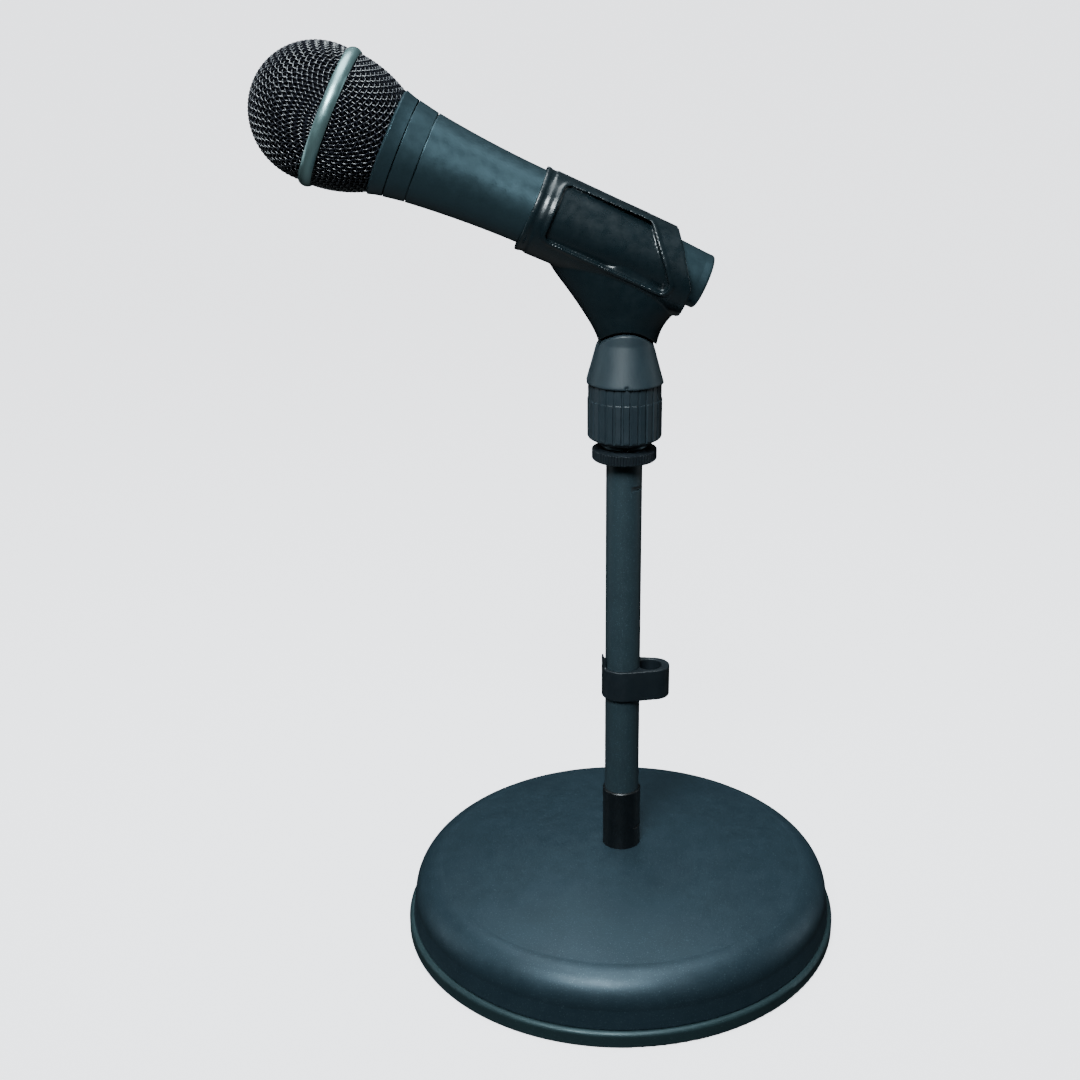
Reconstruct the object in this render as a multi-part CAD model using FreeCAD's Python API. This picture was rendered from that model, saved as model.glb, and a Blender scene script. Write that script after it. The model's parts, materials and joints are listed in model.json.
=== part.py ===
import FreeCAD, Part
import math
import os

from FreeCAD import Placement, Rotation, Vector

# Handheld dynamic microphone in a plastic clip on a weighted desk stand, in millimetres.
# Origin: centre of the base's bottom face, on the pole's axis. +Z is up.
# The microphone lies in the XZ plane, with its head towards -X and raised.
# Microphone and clip are drawn in their own frame: s runs along the microphone's axis towards
# the head from the point where that axis crosses the pole's axis, and r is the radius about it.

# Microphone: place and tilt
MIC_TILT = 23.7
MIC_CROSSING = Vector(0, 0, 321.1)
RUN = 0.3                   # gap between bodies that move past each other
SEAT = 0.02                 # radial gap of fixed parts that fit in one another
FIT = 0.05                  # radial clearance of a running fit
BEYOND = 1.0                # how far a cutter reaches past what it cuts
FAR = 40.0                  # clear of every face of the clip, hub or pole, for cutters
ROUND_SAG = 1 - math.sqrt(0.5)      # from a corner's side to the middle of its arc, by its radius

# Microphone: outside
BALL_RADIUS = 27.5
BALL_CENTRE_S = 134.0
RING_S = 129.1
RING_WIDTH = 5.2
RING_RADIUS = 29.0
RING_INSET = 1.3            # the ring's inside face, in from the mesh
RING_LIP = 0.4
MESH_WALL = 1.0
REAR_BULGE = 1.25
REAR_MESH_R = 21.3
COLLAR_S = 105.7
COLLAR_R = 21.9
COLLAR_CHAMFER = 0.8
GROOVE_FRONT_S = 98.9
GROOVE_FRONT_R = 20.4
GROOVE_REAR_S = 90.2
GROOVE_REAR_R = 18.95
GROOVE_WIDTH = 0.5
FLARE_S = 66.0
FLARE_R = 16.75
GRIP_S = 42.0
GRIP_R = 15.8
TAIL_S = -31.7
TAIL_R = 11.67
END_S = -35.5
HANDLE_WALL = 1.9
TAIL_ROUND = 1.2
SEAT_S = 88.0               # floor of the capsule's bore in the handle
SEAT_LEDGE = 2.0

# Microphone: output connector in the tail
MOUTH_R = 9.9
MOUTH_DEPTH = 2.4
SOCKET_R = 9.6
SOCKET_DEPTH = 15.0
INSERT_THICK = 8.0
PIN_R = 1.2
PIN_CIRCLE_R = 4.0
PIN_TIP_GAP = 2.9
PIN_TAIL = 5.0
KEY_LENGTH = 4.0
KEY_WIDTH = 2.4
KEY_HEIGHT = 1.6
SET_SCREW_R = 1.5
SET_SCREW_LENGTH = 4.0
LEAD_R = 0.7

# Microphone: capsule
CAPSULE_R = 14.8
CAPSULE_WALL = 1.2
CAPSULE_BACK_S = 92.0
CAPSULE_FRONT_S = 114.0
CAP_THICK = 1.6
SOUND_HOLE_R = 1.6
SOUND_HOLES = ((6, 5.0), (12, 10.0))    # how many, on what radius
FOAM_THICK = 2.0
FOAM_GAP = 1.6              # from the mesh's outside to the foam
CUP_R = 12.9
CUP_BACK_S = 94.5
CUP_FLOOR = 3.0
CUP_WALL = 1.6
PLATE_FRONT_S = 108.5
PLATE_THICK = 3.0
GAP_OUTER_R = 10.4
CORE_R = 8.7
CORE_LENGTH = 4.5
COIL_INNER_R = 9.2
COIL_OUTER_R = 9.9
COIL_BACK_S = 106.2
DIAPHRAGM_S = 111.6
DIAPHRAGM_R = 12.4
DIAPHRAGM_THICK = 0.4
DOME_RISE = 1.2
SHOCK_FRONT_S = 101.0
SHOCK_BACK_S = 95.5
SHOCK_WAIST = 1.2
SPIGOT_R = 18.2
SPIGOT_FRONT_S = 104.6
SPIGOT_WALL = 1.2

# Clip sleeve
CLIP_GROOVE_S = 39.2
CLIP_FRONT_S = 42.4
CLIP_BACK_S = -31.5
CLIP_FRONT_R = 18.1
CLIP_BACK_R = 17.0
CLIP_DROP = 0.5
CLIP_SLOT = 5.0
CLIP_GROOVE_HALF = 1.3
CLIP_GROOVE_DEPTH = 0.45
CLIP_FRONT_BLOCK = 8.0      # square-cut length at the sleeve's front
FLOOR_WALL = 1.1
RIM_WIDTH = 1.5
RIM_PROUD = 0.5
WINDOW = [(33.4, 15.0), (33.4, -8.2), (-20.5, -9.2), (-20.9, -5.0), (-4.2, 15.0)]
WINDOW_CORNER = 2.6
WINDOW_NEAR_Y = 3.0         # the window's cut stops this near the middle plane
SLEEVE_HALF = 19.5
SLEEVE = [(CLIP_FRONT_S, SLEEVE_HALF), (CLIP_FRONT_S, -SLEEVE_HALF), (-31.3, -SLEEVE_HALF),
          (-29.6, -3.0), (-14.2, SLEEVE_HALF)]
SLEEVE_CORNER = 4.0

# Tilt joint: the tongue of the clip between the cheeks of the yoke
PIVOT_Z = 272.0
PIVOT = Vector(0, 0, PIVOT_Z)
TONGUE_HALF = 3.0
TONGUE_R = 6.9
TONGUE_WEB_HALF = 11.4
TONGUE_WEB_RISE = 10.0
TONGUE_WEB_INSET = 0.1
TONGUE_TOP_Z = 288.0
CHEEK_R = 14.8
RELIEF_R = 15.7
TILT_PIN_R = 2.0
TILT_PIN_HALF = 8.5
# neck sections: height, middle in x, half width in x, half depth in y
NECK = [(279.0, 0.9, 11.9, 9.4),
        (285.5, 1.0, 13.6, 10.2),
        (291.0, 1.1, 16.6, 11.2),
        (297.0, 1.9, 21.2, 12.4),
        (303.0, 1.2, 24.6, 13.2),
        (309.0, -1.6, 26.2, 13.6),
        (315.5, -4.0, 28.0, 13.8)]

# Yoke and ribbed hub
HUB_BOTTOM_Z = 238.2
HUB_TOP_Z = 264.5
HUB_R = 16.1
HUB_TOP_R = 15.8
HUB_STEP_Z = 257.4
HUB_CHAMFER_R = 11.6
HUB_CHAMFER_Z = 240.6
HUB_EDGE = 0.4
RIB_COUNT = 28
RIB_DEPTH = 0.6
RIB_CREST = 0.6             # share of the pitch
RIB_FLANK = 0.1
YOKE_FLARE_R = 16.8
YOKE_WAIST_Z = 282.0
YOKE_WAIST_R = 12.4
YOKE_TOP_Z = 287.0
YOKE_TOP_R = 11.8
YOKE_LIP = 0.9
YOKE_BULGE_R = 15.0
NUB_R = 0.9
YOKE_PLATE_R = 12.9
YOKE_PLATE_THICK = 3.0
SPIGOT_STEM_R = 8.0
SPIGOT_STEM_Z = 254.0
INSERT_R = 10.4
THREAD_R = 7.94             # 5/8 inch thread
INSERT_TOP_Z = 250.2
ADAPTER_FLANGE_R = 9.9
ADAPTER_BOTTOM_Z = 236.4
ADAPTER_TOP_Z = 248.0
STUD_R = 4.75               # 3/8 inch thread
ADAPTER_SLOT = 2.0
ADAPTER_SLOT_DEPTH = 1.2

# Lock ring, stud and pole
LOCK_BOTTOM_Z = 230.6
LOCK_KNURL_Z = 235.0
LOCK_TOP_Z = 236.1
LOCK_R = 14.1
LOCK_TOP_R = 11.6
KNURL_COUNT = 64
KNURL_DEPTH = 0.45
KNURL_CREST = 0.35          # share of the pitch
KNURL_FLANK = 0.2
EDGE = 0.5
STUD_TOP_Z = 246.0
STUD_PLUG_Z = 205.0
STUD_CHAMFER = 0.8
POLE_R = 7.94
POLE_BORE_R = 6.44
POLE_TOP_Z = 230.2
POLE_FOOT_Z = 22.0
SLOT_Z = 218.3
SLOT_HEIGHT = 2.2
SLOT_DEPTH = 1.2
SLOT_TURN = -38.0
FERRULE_R = 8.8
FERRULE_TOP_Z = 69.5
FERRULE_NICK_Z = 50.5
FERRULE_NICK_HEIGHT = 1.6
FERRULE_NICK_DEPTH = 0.5
FERRULE_NICK_TURN = -35.0
FERRULE_SINK = 1.5          # how far the ferrule reaches into the cover's hole

# Cable clip on the pole
CLIP_LOW_Z = 117.5
CLIP_HIGH_Z = 132.0
BAND_WALL = 1.6
LOOP_X = 14.0
LOOP_R = 7.5
LOOP_HOLE_R = 5.6
LOOP_HOLE_X = 12.3
TAB_RISE = 5.2
TAB_WALL = 0.9
TAB_WIDTH = 5.2
TAB_Y = -4.2
MOUTH_WIDTH = 3.0
MOUTH_Y = 1.2

# Base
RIM_R = 101.6
RIM_TOP_Z = 7.8
RIM_INNER_R = 94.0
RIM_FOOT_ROUND = 1.6
RIM_TOP_ROUND = 2.0
SEAM_R = 99.4
SEAM_Z = 8.2
SIDE_R = 98.2
SIDE_Z = 16.5
SHOULDER_R = 85.0
SHOULDER_Z = 31.0
CROWN_Z = 40.1
COVER_WALL = 2.0
COVER_BULGE = 3.4           # how far the flank bows out from a straight line
COVER_BULGE_RISE = 2.2
CROWN_MIDDLE_R = 44.2
CROWN_DIP = 2.6
PAD_R = 93.6
PAD_THICK = 2.5
BALLAST_R = 93.7
BALLAST_TOP_Z = 13.0
BALLAST_BOSS_R = 22.0
BALLAST_CHAMFER = 2.0
BOSS_RISE = 12.0
BOSS_TAPER = 3.0
PLUG_FOOT_Z = 22.0
PLUG_TOP_Z = 52.0
BOLT_R = 4.0
BOLT_HEAD_R = 7.5
BOLT_HEAD_Z = 7.5
BOLT_HEAD_THICK = 5.0
BOLT_TOP_Z = 44.0
WASHER_R = 11.0
WASHER_THICK = 1.6
COUNTERBORE_R = 13.0
SCREW_COUNT = 3
SCREW_CIRCLE_R = 78.0
SCREW_R = 2.0
SCREW_HEAD_R = 3.8
SCREW_HEAD_THICK = 2.4
SCREW_HEAD_GAP = 0.4
SCREW_TOP_Z = 26.0
POST_R = 5.0
POST_SINK = 0.6             # how far a post stops below the cover's shoulder

X_AXIS = Vector(1, 0, 0)
Y_AXIS = Vector(0, 1, 0)
Z_AXIS = Vector(0, 0, 1)
HERE = Vector(0, 0, 0)
MIC_PLACE = Placement(MIC_CROSSING, Rotation(Y_AXIS, MIC_TILT))


def save(name, shape):
    """One STEP file per sub-part, with one solid or a group of separate solids."""
    for solid in shape.Solids:
        if not solid.isValid():
            print("not valid:", name)
    print("%-18s %d solid(s) %10.1f mm3" % (name, len(shape.Solids), shape.Volume))
    shape.exportStep("parts/" + name + ".step")


def face_of(points):
    """Flat face in the XZ plane through points (a, b), or (middle, end) pairs for arcs."""
    start = Vector(points[0][0], 0, points[0][1])
    first = start
    edges = []
    for step in points[1:]:
        if isinstance(step[0], tuple):
            middle = Vector(step[0][0], 0, step[0][1])
            end = Vector(step[1][0], 0, step[1][1])
            edges.append(Part.Arc(start, middle, end).toShape())
        else:
            end = Vector(step[0], 0, step[1])
            edges.append(Part.makeLine(start, end))
        start = end
    if start.distanceToPoint(first) > 1e-6:
        edges.append(Part.makeLine(start, first))
    return Part.Face(Part.Wire(edges))


def turned(points):
    """Solid of revolution about Z from an outline of (r, z) points."""
    return face_of(points).revolve(HERE, Z_AXIS, 360)


def mic_turned(points):
    """Solid of revolution about the microphone's axis from an outline of (s, r) points."""
    flipped = []
    for point in points:
        if isinstance(point[0], tuple):
            flipped.append(((-point[0][0], point[0][1]), (-point[1][0], point[1][1])))
        else:
            flipped.append((-point[0], point[1]))
    return face_of(flipped).revolve(HERE, X_AXIS, 360)


def mic_tube(s_low, s_high, r_in, r_out):
    """Tube round the microphone's axis."""
    return mic_turned([(s_low, r_in), (s_low, r_out), (s_high, r_out), (s_high, r_in)])


def mic_rod(s_low, s_high, radius, y=0.0, z=0.0):
    """Rod along the microphone's axis, or beside it."""
    return Part.makeCylinder(radius, s_high - s_low, Vector(-s_high, y, z), X_AXIS)


def tube(z_low, z_high, r_in, r_out):
    """Upright tube round the pole's axis."""
    return turned([(r_in, z_low), (r_out, z_low), (r_out, z_high), (r_in, z_high)])


def rod(z_low, z_high, radius, x=0.0, y=0.0):
    """Upright rod."""
    return Part.makeCylinder(radius, z_high - z_low, Vector(x, y, z_low))


def rounded(points, radius):
    """Closed wire in the XZ plane with every corner of the polygon rounded."""
    corners = [Vector(a, 0, b) for a, b in points]
    ends = []
    for index, corner in enumerate(corners):
        back = (corners[index - 1] - corner).normalize()
        ahead = (corners[(index + 1) % len(corners)] - corner).normalize()
        half = back.getAngle(ahead) / 2
        reach = radius / math.tan(half)
        middle = corner + (back + ahead).normalize() * (radius / math.sin(half) - radius)
        ends.append((corner + back * reach, middle, corner + ahead * reach))
    edges = []
    for index, (first, middle, last) in enumerate(ends):
        edges.append(Part.Arc(first, middle, last).toShape())
        edges.append(Part.makeLine(last, ends[(index + 1) % len(ends)][0]))
    return Part.Wire(edges)


def side_prism(wire, y_low, y_high):
    """Wire of the XZ plane drawn out along Y."""
    face = Part.Face(wire)
    face.translate(Vector(0, y_low, 0))
    return face.extrude(Vector(0, y_high - y_low, 0))


def in_mic_frame(points):
    """(s, height) points as (x, z) points of the microphone's frame."""
    return [(-s, height) for s, height in points]


def toothed(radius, depth, count, z_low, z_high, crest, flank):
    """Barrel with straight teeth or flutes round it."""
    pitch = 2 * math.pi / count
    points = []
    for tooth in range(count):
        middle = tooth * pitch
        for share, reach in ((-crest / 2, radius), (crest / 2, radius),
                             (crest / 2 + flank, radius - depth), (1 - crest / 2 - flank, radius - depth)):
            angle = middle + share * pitch
            points.append(Vector(reach * math.cos(angle), reach * math.sin(angle), z_low))
    face = Part.Face(Part.makePolygon(points + [points[0]]))
    return face.extrude(Vector(0, 0, z_high - z_low))


# Microphone head

def ball_arc(radius):
    """Dome's outline at a given radius: its edge at the ring, a middle point and its tip."""
    edge_angle = math.acos((RING_S + RING_WIDTH / 2 - BALL_CENTRE_S) / radius)
    edge = (BALL_CENTRE_S + radius * math.cos(edge_angle), radius * math.sin(edge_angle))
    middle = (BALL_CENTRE_S + radius * math.cos(edge_angle / 2), radius * math.sin(edge_angle / 2))
    return edge, middle, (BALL_CENTRE_S + radius, 0.0)


def front_grille():
    """Front half of the ball, the woven mesh's envelope."""
    edge, middle, tip = ball_arc(BALL_RADIUS)
    edge_in, middle_in, tip_in = ball_arc(BALL_RADIUS - MESH_WALL)
    return mic_turned([edge, (middle, tip), tip_in, (middle_in, edge_in)])


def rear_outline(inset):
    """Convex taper from the ring down to the collar, moved in by the inset."""
    wide_s = RING_S - RING_WIDTH / 2
    middle = ((wide_s + COLLAR_S) / 2, (BALL_RADIUS + REAR_MESH_R) / 2 + REAR_BULGE - inset)
    return (COLLAR_S, REAR_MESH_R - inset), middle, (wide_s, BALL_RADIUS - inset)


def rear_grille():
    """Rear cup of the ball, the woven mesh's envelope."""
    narrow, middle, wide = rear_outline(0.0)
    narrow_in, middle_in, wide_in = rear_outline(MESH_WALL)
    return mic_turned([narrow, (middle, wide), wide_in, (middle_in, narrow_in)])


def grille_ring():
    """Crowned band between the two halves of the mesh."""
    low = RING_S - RING_WIDTH / 2
    high = RING_S + RING_WIDTH / 2
    inner = BALL_RADIUS - RING_INSET
    shoulder = BALL_RADIUS + RING_LIP
    return mic_turned([(low, inner), (low, shoulder), ((RING_S, RING_RADIUS), (high, shoulder)),
                       (high, inner)])


def grille_collar():
    """Threaded ring: chamfered front edge, outside continuing the handle's flare."""
    rear = GROOVE_FRONT_S + GROOVE_WIDTH
    bore = SPIGOT_R + FIT
    middle = ((COLLAR_S + rear) / 2, (COLLAR_R + GROOVE_FRONT_R) / 2)
    return mic_turned([(rear, bore), (rear, GROOVE_FRONT_R), (middle, (COLLAR_S - COLLAR_CHAMFER, COLLAR_R)),
                       (COLLAR_S, COLLAR_R - COLLAR_CHAMFER), (COLLAR_S, bore)])


def foam_windscreen():
    """Foam lining inside both halves of the mesh."""
    narrow, middle, wide = rear_outline(FOAM_GAP)
    narrow_in, middle_in, wide_in = rear_outline(FOAM_GAP + FOAM_THICK)
    edge, dome, tip = ball_arc(BALL_RADIUS - FOAM_GAP)
    edge_in, dome_in, tip_in = ball_arc(BALL_RADIUS - FOAM_GAP - FOAM_THICK)
    return mic_turned([narrow, (middle, wide), edge, (dome, tip), tip_in, (dome_in, edge_in),
                       wide_in, (middle_in, narrow_in)])


# Microphone capsule

def capsule_housing():
    """Plastic cup, open at the front, that holds the motor."""
    inner = CAPSULE_R - CAPSULE_WALL
    floor_s = CAPSULE_BACK_S + CAPSULE_WALL
    return mic_turned([(CAPSULE_BACK_S, 0.0), (CAPSULE_BACK_S, CAPSULE_R), (CAPSULE_FRONT_S, CAPSULE_R),
                       (CAPSULE_FRONT_S, inner), (floor_s, inner), (floor_s, 0.0)])


def resonator_cap():
    """Disc with a ring of sound holes in front of the diaphragm."""
    cap = mic_rod(CAPSULE_FRONT_S, CAPSULE_FRONT_S + CAP_THICK, CAPSULE_R)
    low = CAPSULE_FRONT_S - BEYOND
    high = CAPSULE_FRONT_S + CAP_THICK + BEYOND
    holes = []
    for count, circle_r in SOUND_HOLES:
        for index in range(count):
            angle = 2 * math.pi * index / count
            y = circle_r * math.cos(angle)
            z = circle_r * math.sin(angle)
            holes.append(mic_rod(low, high, SOUND_HOLE_R, y, z))
    return cap.cut(Part.makeCompound(holes))


def diaphragm():
    """Thin dome with a flat crown and a flat surround."""
    skin = DIAPHRAGM_THICK
    rim = DIAPHRAGM_R
    coil = COIL_OUTER_R
    crown_r = coil / 2
    s = DIAPHRAGM_S
    return mic_turned([(s, rim), (s + skin, rim), (s + skin, coil), (s + skin + DOME_RISE, crown_r),
                       (s + skin + DOME_RISE, 0.0), (s + DOME_RISE, 0.0), (s + DOME_RISE, crown_r), (s, coil)])


def voice_coil():
    """Winding behind the diaphragm's dome, in the motor's gap."""
    return mic_tube(COIL_BACK_S, DIAPHRAGM_S, COIL_INNER_R, COIL_OUTER_R)


def top_plate():
    """Steel washer round the gap."""
    return mic_tube(PLATE_FRONT_S - PLATE_THICK, PLATE_FRONT_S, GAP_OUTER_R, CUP_R)


def magnet_yoke():
    """Steel cup under the top plate."""
    wall_r = CUP_R - CUP_WALL
    front = PLATE_FRONT_S - PLATE_THICK
    floor_s = CUP_BACK_S + CUP_FLOOR
    return mic_turned([(CUP_BACK_S, 0.0), (CUP_BACK_S, CUP_R), (front, CUP_R),
                       (front, wall_r), (floor_s, wall_r), (floor_s, 0.0)])


def magnet():
    """Disc magnet on the cup's floor."""
    return mic_rod(CUP_BACK_S + CUP_FLOOR, PLATE_FRONT_S - CORE_LENGTH, CORE_R)


def pole_piece():
    """Steel core on the magnet, inside the coil."""
    return mic_rod(PLATE_FRONT_S - CORE_LENGTH, PLATE_FRONT_S, CORE_R)


def shock_mount():
    """Rubber ring between the capsule and the handle's front end."""
    outer = SPIGOT_R - SPIGOT_WALL
    waist = ((SHOCK_FRONT_S + SHOCK_BACK_S) / 2, outer - SHOCK_WAIST)
    return mic_turned([(SHOCK_BACK_S, CAPSULE_R), (SHOCK_BACK_S, outer), (waist, (SHOCK_FRONT_S, outer)),
                       (SHOCK_FRONT_S, CAPSULE_R)])


# Microphone handle

def handle():
    """Tapered tube with a flared front, a threaded spigot, and the connector's bore in its tail."""
    step = GROOVE_REAR_S - GROOVE_WIDTH / 2
    bore_r = SPIGOT_R - SPIGOT_WALL
    ledge_r = bore_r - SEAT_LEDGE
    insert_back_s = END_S + SOCKET_DEPTH + INSERT_THICK
    corner = TAIL_ROUND * ROUND_SAG
    outside = [(step, GROOVE_REAR_R), ((FLARE_S, FLARE_R), (GRIP_S, GRIP_R)), (TAIL_S, TAIL_R),
               (END_S + TAIL_ROUND, TAIL_R), ((END_S + corner, TAIL_R - corner), (END_S, TAIL_R - TAIL_ROUND))]
    inside = [(END_S, MOUTH_R), (END_S + MOUTH_DEPTH, MOUTH_R), (END_S + MOUTH_DEPTH, SOCKET_R),
              (insert_back_s, SOCKET_R), (GRIP_S, GRIP_R - HANDLE_WALL), (SEAT_S - SEAT_LEDGE, ledge_r),
              (SEAT_S, ledge_r), (SEAT_S, bore_r), (SPIGOT_FRONT_S, bore_r), (SPIGOT_FRONT_S, SPIGOT_R)]
    return mic_turned([(step, SPIGOT_R)] + outside + inside)


def trim_band():
    """Band between the two grooves, pressed on the handle's spigot."""
    front = GROOVE_FRONT_S
    rear = GROOVE_REAR_S + GROOVE_WIDTH / 2
    bore = SPIGOT_R + SEAT
    return mic_turned([(rear, bore), (rear, GROOVE_REAR_R), (front, GROOVE_FRONT_R), (front, bore)])


def pin_places():
    """Contacts of the output connector: two above, one below."""
    places = []
    for degrees in (30, 150, 270):
        angle = math.radians(degrees)
        places.append((PIN_CIRCLE_R * math.cos(angle), PIN_CIRCLE_R * math.sin(angle)))
    return places


def xlr_screw():
    """Set screw in the insert, just short of the handle's bore."""
    middle_s = END_S + SOCKET_DEPTH + INSERT_THICK / 2
    return Part.makeCylinder(SET_SCREW_R, SET_SCREW_LENGTH, Vector(-middle_s, 0, -SOCKET_R + RUN))


def xlr_insert():
    """Insulating disc with a key and holes for the contacts."""
    face_s = END_S + SOCKET_DEPTH
    body = mic_rod(face_s, face_s + INSERT_THICK, SOCKET_R)
    key = Part.makeBox(KEY_LENGTH, KEY_WIDTH, KEY_HEIGHT,
                       Vector(-face_s, -KEY_WIDTH / 2, SOCKET_R - KEY_HEIGHT - RUN))
    holes = []
    for y, z in pin_places():
        holes.append(mic_rod(face_s - BEYOND, face_s + INSERT_THICK + BEYOND, PIN_R, y, z))
    return body.fuse(key).cut(Part.makeCompound(holes)).cut(xlr_screw())


def xlr_pins():
    """Three contacts through the insert."""
    pins = []
    tip_s = END_S + PIN_TIP_GAP
    back_s = END_S + SOCKET_DEPTH + INSERT_THICK + PIN_TAIL
    for y, z in pin_places():
        pins.append(mic_rod(tip_s, back_s, PIN_R, y, z))
    return Part.makeCompound(pins)


def signal_leads():
    """Two leads drawn straight from the capsule's back to two of the contacts."""
    leads = []
    start_s = END_S + SOCKET_DEPTH + INSERT_THICK + PIN_TAIL
    for y, z in pin_places()[:2]:
        leads.append(mic_rod(start_s, CAPSULE_BACK_S, LEAD_R, y, z))
    return Part.makeCompound(leads)


# Clip

def mic_clearance(grow):
    """The microphone's handle from tail to flare, grown all round and run past both ends."""
    slope = (GRIP_R - TAIL_R) / (GRIP_S - TAIL_S)
    rear = END_S - FAR
    rear_r = TAIL_R + slope * (rear - TAIL_S) + grow
    return mic_turned([(rear, 0.0), (rear, rear_r), (GRIP_S, GRIP_R + grow), (FLARE_S, FLARE_R + grow),
                       (FLARE_S, 0.0)])


def sleeve_cone(grow):
    """Outer cone of the sleeve, its axis a little below the microphone's."""
    back = CLIP_BACK_S - BEYOND
    front = CLIP_FRONT_S + BEYOND
    cone = mic_turned([(back, 0.0), (back, CLIP_BACK_R + grow), (front, CLIP_FRONT_R + grow), (front, 0.0)])
    cone.translate(Vector(0, 0, -CLIP_DROP))
    return cone


def clip_sleeve():
    """Split sleeve with a slanted rear edge and a recessed window on each side."""
    outline = side_prism(rounded(in_mic_frame(SLEEVE), SLEEVE_CORNER), -FAR, FAR)
    front_block = Part.makeBox(CLIP_FRONT_BLOCK, 2 * FAR, 2 * SLEEVE_HALF,
                               Vector(-CLIP_FRONT_S, -FAR, -SLEEVE_HALF))
    sleeve = sleeve_cone(0.0).common(outline.fuse(front_block))
    window = rounded(in_mic_frame(WINDOW), WINDOW_CORNER)
    rim_wire = window.makeOffset2D(RIM_WIDTH)
    sides = ((-FAR, -WINDOW_NEAR_Y), (WINDOW_NEAR_Y, FAR))
    for y_low, y_high in sides:
        rim = side_prism(rim_wire, y_low, y_high).common(sleeve_cone(RIM_PROUD))
        sleeve = sleeve.fuse(rim)
    for y_low, y_high in sides:
        recess = side_prism(window, y_low, y_high).cut(mic_clearance(RUN + FLOOR_WALL))
        sleeve = sleeve.cut(recess)
    groove = mic_tube(CLIP_GROOVE_S - CLIP_GROOVE_HALF, CLIP_GROOVE_S + CLIP_GROOVE_HALF,
                      CLIP_FRONT_R - CLIP_GROOVE_DEPTH, CLIP_FRONT_R + BEYOND)
    groove.translate(Vector(0, 0, -CLIP_DROP))
    split = Part.makeBox(3 * FAR, CLIP_SLOT, FAR, Vector(-CLIP_FRONT_S - BEYOND, -CLIP_SLOT / 2, 0))
    return sleeve.cut(groove).cut(split)


def neck():
    """Smooth neck that gathers the sleeve down to the tilt joint."""
    sections = []
    for height, middle, half_x, half_y in NECK:
        ellipse = Part.Ellipse(Vector(middle, 0, height), half_x, half_y)
        sections.append(Part.Wire([ellipse.toShape()]))
    return Part.makeLoft(sections, True, False)


def across(radius, half):
    """Rod along the tilt axis, reaching as far on both sides."""
    return Part.makeCylinder(radius, 2 * half, PIVOT - Y_AXIS * half, Y_AXIS)


def tongue():
    """Flat plate that turns between the yoke's cheeks."""
    foot_x = TONGUE_R - TONGUE_WEB_INSET
    foot_z = PIVOT_Z - BEYOND
    wide_z = PIVOT_Z + TONGUE_WEB_RISE
    web = face_of([(-foot_x, foot_z), (-TONGUE_WEB_HALF, wide_z), (-TONGUE_WEB_HALF, TONGUE_TOP_Z),
                   (TONGUE_WEB_HALF, TONGUE_TOP_Z), (TONGUE_WEB_HALF, wide_z), (foot_x, foot_z)])
    web.translate(Y_AXIS * -TONGUE_HALF)
    return across(TONGUE_R, TONGUE_HALF).fuse(web.extrude(Y_AXIS * 2 * TONGUE_HALF))


def clip_body():
    """Sleeve, neck and tongue in one moulding, bored for the handle and the tilt pin."""
    sleeve = clip_sleeve()
    sleeve.Placement = MIC_PLACE
    bore = mic_clearance(RUN)
    bore.Placement = MIC_PLACE
    body = sleeve.fuse(neck().cut(across(RELIEF_R, FAR))).fuse(tongue())
    return body.cut(bore).cut(across(TILT_PIN_R + FIT, FAR)).removeSplitter()


# Yoke, hub and thread parts

def swivel_yoke():
    """Flared bell split by a slot into two cheeks, on a plate and stem pressed in the hub."""
    plate_z = HUB_TOP_Z - YOKE_PLATE_THICK
    bell = turned([(0, SPIGOT_STEM_Z), (SPIGOT_STEM_R, SPIGOT_STEM_Z), (SPIGOT_STEM_R, plate_z),
                   (YOKE_PLATE_R, plate_z), (YOKE_PLATE_R, HUB_TOP_Z), (YOKE_FLARE_R, HUB_TOP_Z),
                   (YOKE_FLARE_R, HUB_TOP_Z + YOKE_LIP),
                   ((YOKE_BULGE_R, PIVOT_Z), (YOKE_WAIST_R, YOKE_WAIST_Z)),
                   (YOKE_TOP_R, YOKE_TOP_Z), (0, YOKE_TOP_Z)])
    lower = Part.makeBox(2 * FAR, 2 * FAR, 2 * FAR, Vector(-FAR, -FAR, PIVOT_Z + BEYOND - 2 * FAR))
    slot_half = TONGUE_HALF + RUN
    slot = Part.makeBox(2 * FAR, 2 * slot_half, FAR, Vector(-FAR, -slot_half, PIVOT_Z - TONGUE_R - RUN))
    nub = Part.makeSphere(NUB_R, Vector(0, -YOKE_FLARE_R, HUB_TOP_Z + NUB_R))
    return bell.common(across(CHEEK_R, FAR).fuse(lower)).cut(slot).cut(tilt_pin()).fuse(nub)


def tilt_pin():
    """Pin through both cheeks and the tongue."""
    return across(TILT_PIN_R, TILT_PIN_HALF)


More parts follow.
